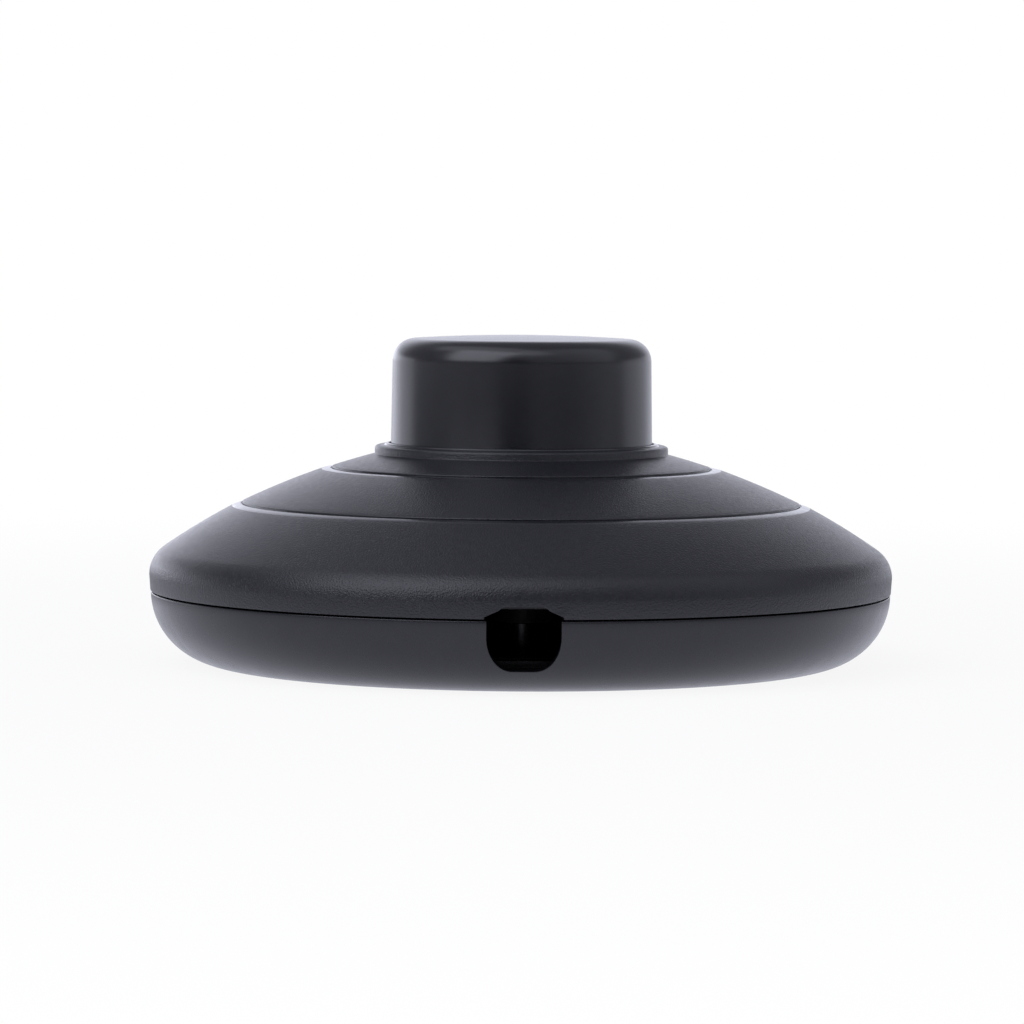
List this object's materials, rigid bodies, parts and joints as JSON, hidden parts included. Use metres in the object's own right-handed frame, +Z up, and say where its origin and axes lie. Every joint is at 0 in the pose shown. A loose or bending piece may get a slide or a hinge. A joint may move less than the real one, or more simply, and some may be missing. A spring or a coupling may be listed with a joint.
{
  "type": "lamp foot switch",
  "caption": "Round inline foot switch for a lamp cord: low stepped housing, cord openings front and rear, push button on top, ratchet contact mechanism inside.",
  "frame": {"origin": "centre of the underside, on the table", "axes": "+Z up along the button's axis, -Y towards the front cord opening, +Y towards the rear one"},
  "size_m": [0.07, 0.07, 0.031],
  "materials": {
    "cover_plastic": "fine spark-eroded grain",
    "base_plastic": "smooth satin",
    "button_plastic": "smooth satin",
    "inner_plastic": "moulded",
    "ratchet_plastic": "moulded",
    "contact_brass": "stamped",
    "contact_silver": "rolled",
    "spring_steel": "drawn wire",
    "screw_steel": "zinc plated"
  },
  "bodies": {
    "housing": {"base_cover": "base_plastic", "top_cover": "cover_plastic", "return_spring": "spring_steel", "mechanism_cap": "inner_plastic", "mechanism_body": "inner_plastic", "live_in_terminal": "contact_brass", "live_out_terminal": "contact_brass", "contact_tips": "contact_silver", "neutral_block": "contact_brass", "terminal_screws": "screw_steel", "neutral_screws": "screw_steel", "wire_washers": "contact_brass", "front_cord_clamp": "base_plastic", "rear_cord_clamp": "base_plastic", "clamp_screws": "screw_steel", "housing_screws": "screw_steel", "mechanism_screws": "screw_steel"},
    "button": {"push_button": "button_plastic", "plunger": "ratchet_plastic"},
    "rotor": {"ratchet_rotor": "ratchet_plastic", "contact_bridge": "contact_brass", "contact_spring": "spring_steel"}
  },
  "joints": [
    {"name": "button_press", "type": "slide", "parent": "housing", "child": "button", "axis": [0, 0, -1], "range_m": [0, 0.003], "stiffness_N_per_m": 800, "springref_m": -0.004, "deforming": ["return_spring"]},
    {"name": "rotor_index", "type": "hinge", "parent": "housing", "child": "rotor", "pos_m": [0, 0, 0.0076], "axis": [0, 0, 1], "range_deg": [0, 40]}
  ],
  "couplings": [
    {"joint": "rotor_index", "follows": "button_press", "rad_per_m": 232.71}
  ]
}
